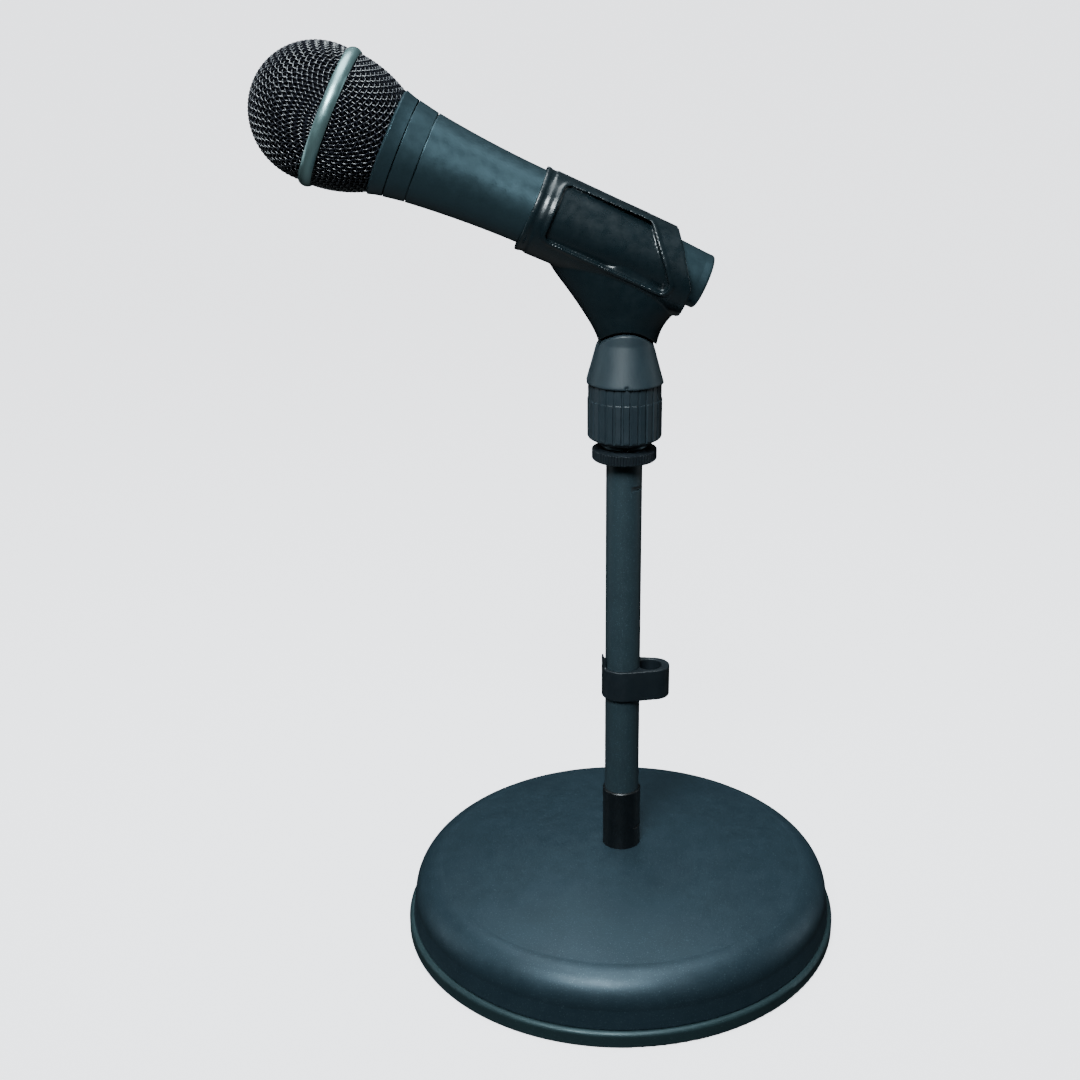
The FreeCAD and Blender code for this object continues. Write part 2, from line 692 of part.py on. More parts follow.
def ribbed_hub():
    """Barrel with flutes, recessed on top for the yoke and bored below for the thread insert."""
    barrel = toothed(HUB_R, RIB_DEPTH, RIB_COUNT, HUB_BOTTOM_Z, HUB_TOP_Z, RIB_CREST, RIB_FLANK)
    plate_z = HUB_TOP_Z - YOKE_PLATE_THICK
    insert_r = INSERT_R + SEAT
    stem_r = SPIGOT_STEM_R + SEAT
    plate_r = YOKE_PLATE_R + SEAT
    step = HUB_R - HUB_TOP_R
    envelope = turned([(insert_r, HUB_BOTTOM_Z), (HUB_CHAMFER_R, HUB_BOTTOM_Z),
                       (HUB_R - HUB_EDGE, HUB_CHAMFER_Z), (HUB_R, HUB_CHAMFER_Z + 2 * HUB_EDGE),
                       (HUB_R, HUB_STEP_Z), (HUB_TOP_R, HUB_STEP_Z + step), (HUB_TOP_R, HUB_TOP_Z),
                       (plate_r, HUB_TOP_Z), (plate_r, plate_z), (stem_r, plate_z),
                       (stem_r, INSERT_TOP_Z), (insert_r, INSERT_TOP_Z)])
    return barrel.common(envelope)


def hub_insert():
    """Brass thread insert, its threads left plain."""
    return tube(HUB_BOTTOM_Z, INSERT_TOP_Z, THREAD_R, INSERT_R)


def thread_adapter():
    """Reducer from the insert's thread to the stud's, with a driver slot across its flange."""
    bore_r = STUD_R + FIT
    body = turned([(bore_r, ADAPTER_BOTTOM_Z), (ADAPTER_FLANGE_R, ADAPTER_BOTTOM_Z),
                   (ADAPTER_FLANGE_R, HUB_BOTTOM_Z), (THREAD_R, HUB_BOTTOM_Z), (THREAD_R, ADAPTER_TOP_Z),
                   (bore_r, ADAPTER_TOP_Z)])
    slot = Part.makeBox(ADAPTER_SLOT, FAR, ADAPTER_SLOT_DEPTH,
                        Vector(-ADAPTER_SLOT / 2, -FAR / 2, ADAPTER_BOTTOM_Z))
    return body.cut(slot)


def lock_ring():
    """Knurled ring with a bevelled top."""
    barrel = toothed(LOCK_R, KNURL_DEPTH, KNURL_COUNT, LOCK_BOTTOM_Z, LOCK_TOP_Z, KNURL_CREST, KNURL_FLANK)
    bore_r = STUD_R + FIT
    envelope = turned([(bore_r, LOCK_BOTTOM_Z), (LOCK_R - EDGE, LOCK_BOTTOM_Z), (LOCK_R, LOCK_BOTTOM_Z + EDGE),
                       (LOCK_R, LOCK_KNURL_Z), (LOCK_TOP_R, LOCK_TOP_Z), (bore_r, LOCK_TOP_Z)])
    return barrel.common(envelope)


# Pole

def on_pole(box, height, degrees):
    """Cutter moved to a height on the pole and turned round it."""
    box.Placement = Placement(Vector(0, 0, height), Rotation(Z_AXIS, degrees)) * box.Placement
    return box


def threaded_stud():
    """Stud with a plug pressed in the pole's top, its threads left plain."""
    return turned([(0, STUD_PLUG_Z), (POLE_BORE_R, STUD_PLUG_Z), (POLE_BORE_R, POLE_TOP_Z),
                   (STUD_R, POLE_TOP_Z), (STUD_R, STUD_TOP_Z - STUD_CHAMFER),
                   (STUD_R - STUD_CHAMFER, STUD_TOP_Z), (0, STUD_TOP_Z)])


def pole_tube():
    """Tube with a shallow crescent cut near its top, on the +X side."""
    cutter = Part.makeBox(FAR, FAR, SLOT_HEIGHT, Vector(POLE_R - SLOT_DEPTH, -FAR / 2, -SLOT_HEIGHT / 2))
    return tube(POLE_FOOT_Z, POLE_TOP_Z, POLE_BORE_R, POLE_R).cut(on_pole(cutter, SLOT_Z, SLOT_TURN))


def ferrule():
    """Sleeve over the pole's foot, with a small nick on one side."""
    low = CROWN_Z - FERRULE_SINK
    bore_r = POLE_R + SEAT
    body = turned([(bore_r, low), (FERRULE_R, low), (FERRULE_R, FERRULE_TOP_Z - EDGE),
                   (FERRULE_R - EDGE, FERRULE_TOP_Z), (bore_r, FERRULE_TOP_Z)])
    nick = Part.makeBox(FAR, FAR, FERRULE_NICK_HEIGHT,
                        Vector(FERRULE_R - FERRULE_NICK_DEPTH, -FAR / 2, -FERRULE_NICK_HEIGHT / 2))
    return body.cut(on_pole(nick, FERRULE_NICK_Z, FERRULE_NICK_TURN))


def flat_loop(radius_pole, radius_loop, loop_x, z_low, z_high):
    """Plan outline of two circles joined by straight sides, drawn up along Z."""
    sides = []
    tilt = math.asin((radius_pole - radius_loop) / loop_x)
    for sign in (1, -1):
        pole_point = Vector(radius_pole * math.sin(tilt), sign * radius_pole * math.cos(tilt), z_low)
        loop_point = Vector(loop_x + radius_loop * math.sin(tilt), sign * radius_loop * math.cos(tilt), z_low)
        sides.append((pole_point, loop_point))
    far_left = Vector(-radius_pole, 0, z_low)
    far_right = Vector(loop_x + radius_loop, 0, z_low)
    edges = [Part.makeLine(sides[0][0], sides[0][1]),
             Part.Arc(sides[0][1], far_right, sides[1][1]).toShape(),
             Part.makeLine(sides[1][1], sides[1][0]),
             Part.Arc(sides[1][0], far_left, sides[0][0]).toShape()]
    return Part.Face(Part.Wire(edges)).extrude(Vector(0, 0, z_high - z_low))


def cable_clip():
    """Spring band round the pole that runs on into a loop for the cable."""
    pole_hole_r = POLE_R + FIT
    outer_r = pole_hole_r + BAND_WALL
    low = CLIP_LOW_Z - BEYOND
    high = CLIP_HIGH_Z + BEYOND
    band = flat_loop(outer_r, LOOP_R, LOOP_X, CLIP_LOW_Z, CLIP_HIGH_Z)
    holes = rod(low, high, pole_hole_r).fuse(rod(low, high, LOOP_HOLE_R, LOOP_HOLE_X))
    mouth = Part.makeBox(outer_r, MOUTH_WIDTH, FAR, Vector(-outer_r - BEYOND, MOUTH_Y, low))
    tab_ring = tube(CLIP_HIGH_Z - BEYOND, CLIP_HIGH_Z + TAB_RISE, outer_r - TAB_WALL, outer_r)
    tab = tab_ring.common(Part.makeBox(outer_r, TAB_WIDTH, FAR, Vector(-outer_r - BEYOND, TAB_Y, low)))
    return band.cut(holes).fuse(tab).cut(mouth).removeSplitter()


# Base

def cover_outline(inset):
    """Seam, side, shoulder and crown of the cover, moved in by the inset."""
    slant = inset * math.sqrt(0.5)
    flank_r = (SIDE_R + SHOULDER_R) / 2 + COVER_BULGE - slant
    flank_z = (SIDE_Z + SHOULDER_Z) / 2 + COVER_BULGE_RISE - slant
    crown = (CROWN_MIDDLE_R, CROWN_Z - CROWN_DIP - inset)
    return [(SEAM_R - inset, SEAM_Z), (SIDE_R - inset, SIDE_Z),
            ((flank_r, flank_z), (SHOULDER_R, SHOULDER_Z - inset)), (crown, (FERRULE_R + FIT, CROWN_Z - inset))]


def base_cover():
    """Domed cover shell with a hole for the ferrule and posts for the screws."""
    outer = cover_outline(0.0)
    seam, side, flank, crown = cover_outline(COVER_WALL)
    shell = turned(outer + [crown[1], (crown[0], flank[1]), (flank[0], side), seam])
    for x, y in screw_places():
        shell = shell.fuse(rod(BALLAST_TOP_Z, SHOULDER_Z - POST_SINK, POST_R, x, y))
    for x, y in screw_places():
        shell = shell.cut(rod(0, SCREW_TOP_Z, SCREW_R + SEAT, x, y))
    return shell


def base_rim():
    """Edge ring under the seam, rounded outside at its foot and at its top."""
    foot = RIM_FOOT_ROUND * ROUND_SAG
    top = RIM_TOP_ROUND * ROUND_SAG
    return turned([(RIM_INNER_R, 0), (RIM_R - RIM_FOOT_ROUND, 0),
                   ((RIM_R - foot, foot), (RIM_R, RIM_FOOT_ROUND)), (RIM_R, RIM_TOP_Z - RIM_TOP_ROUND),
                   ((RIM_R - top, RIM_TOP_Z - top), (RIM_R - RIM_TOP_ROUND, RIM_TOP_Z)),
                   (RIM_INNER_R, RIM_TOP_Z)])


def bottom_pad():
    """Soft pad that the stand rests on."""
    return rod(0, PAD_THICK, PAD_R)


def screw_places():
    """Centres of the cover's screws."""
    places = []
    for index in range(SCREW_COUNT):
        angle = 2 * math.pi * index / SCREW_COUNT + math.pi / 2
        places.append((SCREW_CIRCLE_R * math.cos(angle), SCREW_CIRCLE_R * math.sin(angle)))
    return places


def ballast_plate():
    """Iron weight with a boss up to the pole's foot, bored for the bolt and the screws."""
    washer_top = BOLT_HEAD_Z + WASHER_THICK
    boss_top = POLE_FOOT_Z + BOSS_RISE
    socket_r = POLE_R + FIT
    weight = turned([(BOLT_R, washer_top), (COUNTERBORE_R, washer_top), (COUNTERBORE_R, PAD_THICK),
                     (BALLAST_R - BALLAST_CHAMFER, PAD_THICK), (BALLAST_R, PAD_THICK + BALLAST_CHAMFER),
                     (BALLAST_R, BALLAST_TOP_Z - BALLAST_CHAMFER),
                     (BALLAST_R - BALLAST_CHAMFER, BALLAST_TOP_Z),
                     (BALLAST_BOSS_R, BALLAST_TOP_Z), (BALLAST_BOSS_R - BOSS_TAPER, boss_top),
                     (socket_r, boss_top), (socket_r, POLE_FOOT_Z), (BOLT_R, POLE_FOOT_Z)])
    head_top = PAD_THICK + SCREW_HEAD_GAP + SCREW_HEAD_THICK
    for x, y in screw_places():
        weight = weight.cut(rod(0, BALLAST_TOP_Z + BEYOND, SCREW_R, x, y))
        weight = weight.cut(rod(0, head_top, SCREW_HEAD_R, x, y))
    return weight


def foot_plug():
    """Threaded plug in the pole's foot."""
    return tube(PLUG_FOOT_Z, PLUG_TOP_Z, BOLT_R, POLE_BORE_R)


def clamp_bolt():
    """Hexagon-headed bolt from below into the plug."""
    low = BOLT_HEAD_Z - BOLT_HEAD_THICK
    points = []
    for index in range(7):
        angle = math.radians(60 * index)
        points.append(Vector(BOLT_HEAD_R * math.cos(angle), BOLT_HEAD_R * math.sin(angle), low))
    head = Part.Face(Part.makePolygon(points)).extrude(Z_AXIS * BOLT_HEAD_THICK)
    return head.fuse(rod(BOLT_HEAD_Z, BOLT_TOP_Z, BOLT_R)).removeSplitter()


def bolt_washer():
    """Washer between the bolt's head and the weight."""
    return tube(BOLT_HEAD_Z, BOLT_HEAD_Z + WASHER_THICK, BOLT_R, WASHER_R)


def cover_screws():
    """Screws from below through the weight into the cover's posts."""
    screws = []
    head_low = PAD_THICK + SCREW_HEAD_GAP
    for x, y in screw_places():
        head = rod(head_low, head_low + SCREW_HEAD_THICK, SCREW_HEAD_R, x, y)
        shank = rod(head_low + SCREW_HEAD_THICK, SCREW_TOP_Z, SCREW_R, x, y)
        screws.append(head.fuse(shank).removeSplitter())
    return Part.makeCompound(screws)


MIC_PARTS = [front_grille, rear_grille, grille_ring, grille_collar, foam_windscreen, capsule_housing,
             resonator_cap, diaphragm, voice_coil, top_plate, magnet_yoke, magnet, pole_piece,
             shock_mount, handle, trim_band, xlr_insert, xlr_pins, xlr_screw, signal_leads]
STAND_PARTS = [clip_body, swivel_yoke, tilt_pin, ribbed_hub, hub_insert, thread_adapter, lock_ring,
               threaded_stud, pole_tube, ferrule, cable_clip, base_cover, base_rim, bottom_pad,
               ballast_plate, foot_plug, clamp_bolt, bolt_washer, cover_screws]

os.makedirs("parts", exist_ok=True)
for make in MIC_PARTS:
    piece = make()
    piece.Placement = MIC_PLACE.multiply(piece.Placement)
    save(make.__name__, piece)
for make in STAND_PARTS:
    save(make.__name__, make())
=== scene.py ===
"""Looks of the dynamic microphone on its desk stand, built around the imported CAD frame. Metres."""

import json
import math

import bmesh
import bpy
import numpy as np
from mathutils import Matrix, Vector, noise


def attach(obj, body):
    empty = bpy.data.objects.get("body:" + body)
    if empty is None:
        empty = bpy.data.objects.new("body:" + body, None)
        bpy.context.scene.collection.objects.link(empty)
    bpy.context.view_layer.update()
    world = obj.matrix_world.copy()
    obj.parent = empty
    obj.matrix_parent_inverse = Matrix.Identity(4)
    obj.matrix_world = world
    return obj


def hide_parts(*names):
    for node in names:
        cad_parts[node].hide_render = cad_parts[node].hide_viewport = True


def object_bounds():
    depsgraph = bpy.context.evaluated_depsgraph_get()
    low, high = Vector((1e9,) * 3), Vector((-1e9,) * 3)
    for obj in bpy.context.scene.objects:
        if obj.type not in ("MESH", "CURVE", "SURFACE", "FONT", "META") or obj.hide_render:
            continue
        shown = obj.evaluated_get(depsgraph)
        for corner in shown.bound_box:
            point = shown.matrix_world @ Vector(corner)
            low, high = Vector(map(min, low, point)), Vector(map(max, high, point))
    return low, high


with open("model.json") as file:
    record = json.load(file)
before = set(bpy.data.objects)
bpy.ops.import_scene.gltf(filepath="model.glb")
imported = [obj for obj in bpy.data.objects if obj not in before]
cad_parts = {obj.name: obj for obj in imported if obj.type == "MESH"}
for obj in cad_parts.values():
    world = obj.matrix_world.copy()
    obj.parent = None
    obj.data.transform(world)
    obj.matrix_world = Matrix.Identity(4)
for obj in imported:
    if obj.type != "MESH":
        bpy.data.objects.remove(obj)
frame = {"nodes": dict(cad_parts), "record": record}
cad_low, cad_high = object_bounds()
RECORD = frame["record"]
MM = 0.001


# Camera: in front of the stand, above it and a little to its left, angles in radians

CAMERA_PLACE = Vector((-0.0322, -0.6210, 0.42145))
CAMERA_YAW = 0.04357
CAMERA_PITCH = 0.35271
CAMERA_ROLL = 0.00544
CAMERA_LENS = 49.891            # mm, for a sensor 36 mm wide
CAMERA_SHIFT = -0.0667


def make_camera():
    yaw, pitch, roll = CAMERA_YAW, CAMERA_PITCH, CAMERA_ROLL
    ahead = Vector((math.sin(yaw) * math.cos(pitch), math.cos(yaw) * math.cos(pitch), -math.sin(pitch)))
    level = Vector((math.cos(yaw), -math.sin(yaw), 0.0))
    upward = level.cross(ahead)
    right = math.cos(roll) * level + math.sin(roll) * upward
    top = math.cos(roll) * upward - math.sin(roll) * level
    data = bpy.data.cameras.new("camera")
    data.sensor_width = 36.0
    data.lens = CAMERA_LENS
    data.shift_x = CAMERA_SHIFT
    data.clip_start = 0.01
    data.clip_end = 50.0
    camera = bpy.data.objects.new("camera", data)
    turn = Matrix((right, top, -ahead)).transposed().to_4x4()
    camera.matrix_world = Matrix.Translation(CAMERA_PLACE) @ turn
    bpy.context.scene.collection.objects.link(camera)
    bpy.context.scene.camera = camera


make_camera()


# The microphone's axis, from the record's joint that unscrews its grille

def joint_named(name):
    return next(j for j in RECORD["behaviour"]["joints"] if j["name"] == name)


UNSCREW = joint_named("grille_unscrew")
AXIS = Vector(UNSCREW["axis"]).normalized()
if AXIS.x > 0:
    AXIS = -AXIS
AXIS_POINT = Vector(UNSCREW["pos_m"])
SIDE = Vector((0.0, 1.0, 0.0))
OVER = AXIS.cross(SIDE).normalized()
if OVER.z < 0:
    OVER = -OVER


def outline_of(node):
    """Sorted places along the axis and the largest radius at each, for a CAD node round the axis."""
    points = np.array([v.co for v in frame["nodes"][node].data.vertices]) - np.array(AXIS_POINT)
    along = points @ np.array(AXIS)
    radius = np.linalg.norm(points - np.outer(along, np.array(AXIS)), axis=1)
    keys = np.round(along, 5)       # to 0.01 mm
    places = np.unique(keys)
    widest = np.array([radius[keys == place].max() for place in places])
    return places, widest


# Materials

def shader(name):
    """New material with its node tree and its main shader."""
    material = bpy.data.materials.new(name)
    material.use_nodes = True
    return material, material.node_tree, material.node_tree.nodes["Principled BSDF"]


def add(tree, kind, **values):
    """New node of a kind, with its settings."""
    node = tree.nodes.new(kind)
    for key, value in values.items():
        setattr(node, key, value)
    return node


def noise_at(tree, place, size, detail=3.0):
    """Noise whose features are about the given size, in metres."""
    node = add(tree, "ShaderNodeTexNoise")
    node.inputs["Scale"].default_value = 1.0 / size
    node.inputs["Detail"].default_value = detail
    tree.links.new(place, node.inputs["Vector"])
    return node.outputs["Fac"]


def spread(tree, value, low, high, start=0.3, end=0.7):
    """Takes a value's range from start to end to the range from low to high."""
    node = add(tree, "ShaderNodeMapRange")
    node.inputs["From Min"].default_value = start
    node.inputs["From Max"].default_value = end
    node.inputs["To Min"].default_value = low
    node.inputs["To Max"].default_value = high
    tree.links.new(value, node.inputs["Value"])
    return node.outputs["Result"]


def tint(tree, factor, first, second):
    """Mix of two colours."""
    node = add(tree, "ShaderNodeMix", data_type="RGBA")
    node.inputs["A"].default_value = (*first, 1.0)
    node.inputs["B"].default_value = (*second, 1.0)
    tree.links.new(factor, node.inputs["Factor"])
    return node.outputs["Result"]


def speckled(tree, place, under, light, size, start, end):
    """Lays small light specks, as in powder coat or sparkle lacquer, over a colour."""
    grains = noise_at(tree, place, size, detail=1.0)
    amount = spread(tree, grains, 0.0, 1.0, start, end)
    node = add(tree, "ShaderNodeMix", data_type="RGBA")
    node.inputs["B"].default_value = (*light, 1.0)
    tree.links.new(under, node.inputs["A"])
    tree.links.new(amount, node.inputs["Factor"])
    return node.outputs["Result"]


def finish(name, colour, rough, metal=0.0, vary=0.15, patch=0.012, rough_vary=0.05, grain=0.0003,
           relief=0.00001, strength=0.5, soften=0.0, specular=0.5, speck=None, coat=0.0):
    """A surface with colour patches, uneven gloss and fine relief. Sizes are in metres.

    soften rounds the edges by shading alone, and speck is a colour, a size and a range of noise.
    """
    material, tree, out = shader(name)
    place = add(tree, "ShaderNodeTexCoord").outputs["Object"]
    dark = tuple(c * (1.0 - vary) for c in colour)
    light = tuple(min(c * (1.0 + vary), 1.0) for c in colour)
    paint = tint(tree, spread(tree, noise_at(tree, place, patch), 0.0, 1.0), dark, light)
    if speck:
        paint = speckled(tree, place, paint, *speck)
    tree.links.new(paint, out.inputs["Base Color"])
    gloss = spread(tree, noise_at(tree, place, patch * 0.3), rough - rough_vary, rough + rough_vary)
    tree.links.new(gloss, out.inputs["Roughness"])
    out.inputs["Metallic"].default_value = metal
    out.inputs["Specular IOR Level"].default_value = specular
    out.inputs["Coat Weight"].default_value = coat
    out.inputs["Coat Roughness"].default_value = 0.15
    bump = add(tree, "ShaderNodeBump")
    bump.inputs["Strength"].default_value = strength
    bump.inputs["Distance"].default_value = relief
    tree.links.new(noise_at(tree, place, grain, detail=4.0), bump.inputs["Height"])
    if soften:
        edge = add(tree, "ShaderNodeBevel", samples=6)
        edge.inputs["Radius"].default_value = soften
        tree.links.new(edge.outputs["Normal"], bump.inputs["Normal"])
    tree.links.new(bump.outputs["Normal"], out.inputs["Normal"])
    return material


def linear(code):
    """A colour written as six hexadecimal digits, as linear light."""
    parts = [int(code[i:i + 2], 16) / 255.0 for i in (0, 2, 4)]
    return tuple(c / 12.92 if c <= 0.04045 else ((c + 0.055) / 1.055) ** 2.4 for c in parts)


FINISHES = {
    "grille_wire": finish("black_wire", linear("0f1017"), 0.28, vary=0.25, patch=0.004, grain=0.0002,
                          relief=0.000004, specular=0.65, coat=0.2),
    "mic_ring": finish("ring_lacquer", linear("7d9b9b"), 0.34, metal=0.85, vary=0.06, grain=0.00018,
                       relief=0.000006, soften=0.0003),
    "mic_body": finish("body_lacquer", linear("35484f"), 0.38, metal=0.75, vary=0.06, grain=0.00018,
                       relief=0.000006, soften=0.0002),
    "foam": finish("grille_foam", linear("0b0b0e"), 0.95, vary=0.4, patch=0.0015, grain=0.0006,
                   relief=0.0002, specular=0.1),
    "capsule_plastic": finish("capsule_plastic", linear("17191b"), 0.45, grain=0.0004, soften=0.0002),
    "copper_coil": finish("copper_wire", linear("b5683a"), 0.3, metal=1.0, patch=0.002, grain=0.0001),
    "film": finish("clear_film", linear("b9b39c"), 0.25, patch=0.003, grain=0.0008, coat=0.4),
    "motor_steel": finish("plated_steel", linear("9b9c9e"), 0.32, metal=1.0, patch=0.004, grain=0.0002),
    "magnet": finish("magnet_metal", linear("6d6c6a"), 0.5, metal=0.9, patch=0.002, grain=0.0003),
    "shock_rubber": finish("soft_rubber", linear("1b1b1c"), 0.8, grain=0.0005, relief=0.00003),
    "lead_cover": finish("lead_cover", linear("8c2320"), 0.45, patch=0.003, grain=0.0004),
    "connector_plastic": finish("connector_plastic", linear("0c0d0f"), 0.38, grain=0.0003, soften=0.0002),
    "contact_plate": finish("contact_plating", linear("c9c6bb"), 0.22, metal=1.0, patch=0.002,
                            grain=0.0001, relief=0.000003),
    "clip_plastic": finish("clip_plastic", linear("0d171b"), 0.30, vary=0.12, rough_vary=0.07, grain=0.0005,
                           relief=0.000012, soften=0.0003),
    "yoke_plastic": finish("yoke_plastic", linear("1e2a30"), 0.50, vary=0.10, rough_vary=0.06, grain=0.0004,
                           relief=0.00002, soften=0.0003),
    "hub_plastic": finish("hub_plastic", linear("1b262c"), 0.48, vary=0.10, rough_vary=0.06, grain=0.0004,
                          relief=0.00002, soften=0.0002),
    "brass": finish("turned_brass", linear("b08d4c"), 0.30, metal=1.0, patch=0.003, grain=0.0001),
    "adapter_metal": finish("adapter_metal", linear("4c5a60"), 0.42, metal=0.8, vary=0.2, patch=0.003,
                            grain=0.0002, soften=0.0002),
    "ring_metal": finish("lock_ring_black", linear("161d22"), 0.45, metal=0.2, vary=0.15, patch=0.003,
                         grain=0.0003, soften=0.0002),
    "pole_paint": finish("pole_paint", linear("26343a"), 0.46, metal=0.1, vary=0.08, patch=0.01,
                         grain=0.0005, relief=0.00002, soften=0.0002,
                         speck=(linear("46585f"), 0.0004, 0.62, 0.78)),
    # The ferrule's near-black colour, far darker than the pole's paint, is painted shade where the pole
    # enters the base.
    "ferrule_black": finish("ferrule_black", linear("06090c"), 0.42, vary=0.15, grain=0.0004,
                            soften=0.0003),
    "cable_clip_plastic": finish("cable_clip_plastic", linear("141b20"), 0.42, vary=0.12, grain=0.0004,
                                 relief=0.000015, soften=0.0003),
    "base_paint": finish("base_powder_coat", linear("293b45"), 0.46, metal=0.5, vary=0.07,
                         specular=0.6, patch=0.02, grain=0.0009, relief=0.00005, strength=0.6,
                         soften=0.0004, speck=(linear("4b6069"), 0.0005, 0.62, 0.82)),
    "rim_paint": finish("rim_powder_coat", linear("2c4044"), 0.46, metal=0.45, vary=0.08,
                        specular=0.5, patch=0.02, grain=0.0009, relief=0.00005, strength=0.6,
                        soften=0.0004, speck=(linear("4b6063"), 0.0005, 0.62, 0.82)),
    "iron": finish("cast_iron", linear("3a3a3b"), 0.75, metal=0.6, vary=0.3, patch=0.006, grain=0.0012,
                   relief=0.00015),
    "pad_rubber": finish("pad_rubber", linear("131314"), 0.85, vary=0.2, patch=0.01, grain=0.0008,
                         relief=0.0001),
    "fastener_steel": finish("fastener_steel", linear("85888a"), 0.35, metal=1.0, patch=0.003, grain=0.0002),
}

for part in RECORD["subparts"]:
    holder = frame["nodes"][part["node"]]
    holder.data.materials.clear()
    holder.data.materials.append(FINISHES[part["material_slot"]])

SLOT_OF = {part["node"]: part["material_slot"] for part in RECORD["subparts"]}
BODY_OF = {node: body for body, nodes in RECORD["behaviour"]["bodies"].items() for node in nodes}


def stand_for(piece, node):
    """The piece takes the node's place, body, slot and finish."""
    piece.data.materials.clear()
    piece.data.materials.append(FINISHES[SLOT_OF[node]])
    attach(piece, BODY_OF[node])
    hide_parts(node)


# Woven wire

WIRE_RADIUS = 0.34 * MM
WEAVE_RISE = 0.33 * MM          # how far a wire swings out and in from the weave's middle surface
WEAVE_DEPTH = 0.55 * MM         # from the mesh's outside to that middle surface
PITCH = 2.05 * MM
STEPS = 6                       # points along a wire from one crossing to the next
SIDES = 6
MESH_TURN = math.radians(45.0)  # both meshes are laid with their wires diagonal to the vertical plane
UNDER_RING = 1.0 * MM           # how far the wires run on under the ring
UNDER_COLLAR = 0.8 * MM
CUP_STEPS = 160                 # places along the cup's side at which its outline is worked out
PAST_EQUATOR = 0.15             # radians that the dome's net is worked out beyond a half ball


def tubes(name, runs):
    """One mesh of round wires. A run is a list of (point, outward normal)."""
    turns = np.linspace(0.0, 2 * math.pi, SIDES, endpoint=False)
    points, faces, start = [], [], 0
    for run in runs:
        centre = np.array([point for point, _ in run])
        normal = np.array([outward for _, outward in run])
        tangent = np.gradient(centre, axis=0)
        tangent /= np.linalg.norm(tangent, axis=1)[:, None]
        across = np.cross(tangent, normal)
        across /= np.linalg.norm(across, axis=1)[:, None]
        upright = np.cross(across, tangent)
        around = np.cos(turns)[None, :, None] * upright[:, None]
        around = around + np.sin(turns)[None, :, None] * across[:, None]
        points.append((centre[:, None] + WIRE_RADIUS * around).reshape(-1, 3))
        for i in range(len(run) - 1):
            ring = start + i * SIDES
            for k in range(SIDES):
                after = (k + 1) % SIDES
                faces.append((ring + k, ring + after, ring + SIDES + after, ring + SIDES + k))
        last = start + (len(run) - 1) * SIDES
        faces.append(tuple(start + k for k in reversed(range(SIDES))))
        faces.append(tuple(last + k for k in range(SIDES)))
        start = last + SIDES
    mesh = bpy.data.meshes.new(name)
    mesh.from_pydata(np.concatenate(points).tolist(), [], faces)
    mesh.shade_smooth()
    piece = bpy.data.objects.new(name, mesh)
    bpy.context.scene.collection.objects.link(piece)
    shape = bmesh.new()
    shape.from_mesh(mesh)
    bmesh.ops.recalc_face_normals(shape, faces=shape.faces)
    shape.to_mesh(mesh)
    shape.free()
    return piece


def unbroken(spots, shortest):
    """The stretches of a wire's spots between gaps, which are None, that have more than so many spots."""
    runs, run = [], []
    for spot in spots + [None]:
        if spot is not None:
            run.append(spot)
            continue
        if len(run) > shortest:
            runs.append(run)
        run = []
    return runs


def wave(step, wire, family):
    """A wire goes over one crossing and under the next, and its neighbours the other way round."""
    return WEAVE_RISE * math.cos(math.pi * (step / STEPS + wire + family))


def equal_net(radius, reach):
    """Quarter of a cloth net on the unit sphere round +Z: both families keep their spacing and shear."""
    step = PITCH / STEPS / radius
    count = int(reach / step) + 1
    net = np.zeros((count + 1, count + 1, 3))
    turns = np.arange(count + 1) * step
    net[:, 0] = np.stack([np.sin(turns), 0 * turns, np.cos(turns)], axis=1)
    net[0, :] = np.stack([0 * turns, np.sin(turns), np.cos(turns)], axis=1)
    for i in range(1, count + 1):
        for j in range(1, count + 1):
            back, left, low = net[i - 1, j - 1], net[i, j - 1], net[i - 1, j]
            both = left + low
            point = both * (back @ both) / (1.0 + left @ low) - back
            net[i, j] = point / np.linalg.norm(point)
    return net, count


def dome_weave():
    """The front mesh: a cloth of wires drawn over the ball."""
    places, widest = outline_of("front_grille")
    tip, foot = places[-1], places[0]
    radius = widest.max()
    middle = tip - radius
    radius -= WEAVE_DEPTH
    lowest = (foot - UNDER_RING - middle) / radius
    net, count = equal_net(radius, math.pi / 2 + PAST_EQUATOR)
    cos_turn, sin_turn = math.cos(MESH_TURN), math.sin(MESH_TURN)

    def spot_at(family, wire, step):
        """Spot on a wire of a family, or None below the ring."""
        row = abs(wire) * STEPS
        spot = net[row, abs(step)] if family == 0 else net[abs(step), row]
        x = math.copysign(spot[0], wire if family == 0 else step)
        y = math.copysign(spot[1], step if family == 0 else wire)
        depth = float(spot[2])
        if depth < lowest:
            return None
        side, over = cos_turn * x - sin_turn * y, sin_turn * x + cos_turn * y
        normal = SIDE * side + OVER * over + AXIS * depth
        point = AXIS_POINT + AXIS * middle + normal * (radius + wave(step, wire, family))
        return tuple(point), tuple(normal)

    runs = []
    wires = count // STEPS
    for family in (0, 1):
        for wire in range(-wires, wires + 1):
            spots = [spot_at(family, wire, step) for step in range(-count, count + 1)]
            runs += unbroken(spots, 2 * STEPS)
    stand_for(tubes("woven_dome", runs), "front_grille")


